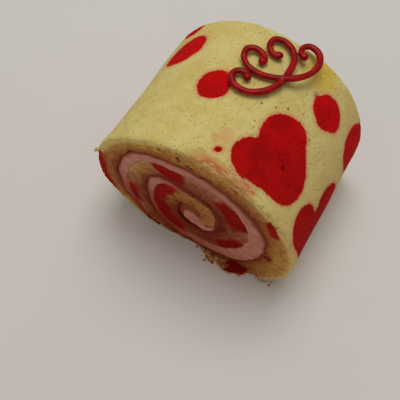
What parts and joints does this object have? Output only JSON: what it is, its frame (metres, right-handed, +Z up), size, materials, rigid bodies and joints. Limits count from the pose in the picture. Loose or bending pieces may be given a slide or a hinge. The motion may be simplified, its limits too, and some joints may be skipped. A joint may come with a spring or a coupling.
{
  "type": "swiss roll cake",
  "caption": "Short swiss roll cake: a patterned sponge sheet wound up with pink cream, cut at both ends, with a piped chocolate ornament on top.",
  "frame": {"origin": "middle of the footprint, on the surface that the cake stands on", "axes": "+Z up, +Y along the roll from the front cut to the back cut, +X to the right seen from the front cut"},
  "size_m": [0.0706, 0.0551, 0.0575],
  "materials": {
    "sponge": "matt pale yellow sponge with deep red heart and dot shapes in its skin",
    "cream": "satin pale pink cream",
    "chocolate": "glossy dark red coloured chocolate"
  },
  "bodies": {
    "root": {"sponge": "sponge", "cream_filling": "cream", "chocolate_scroll": "chocolate"}
  },
  "joints": []
}
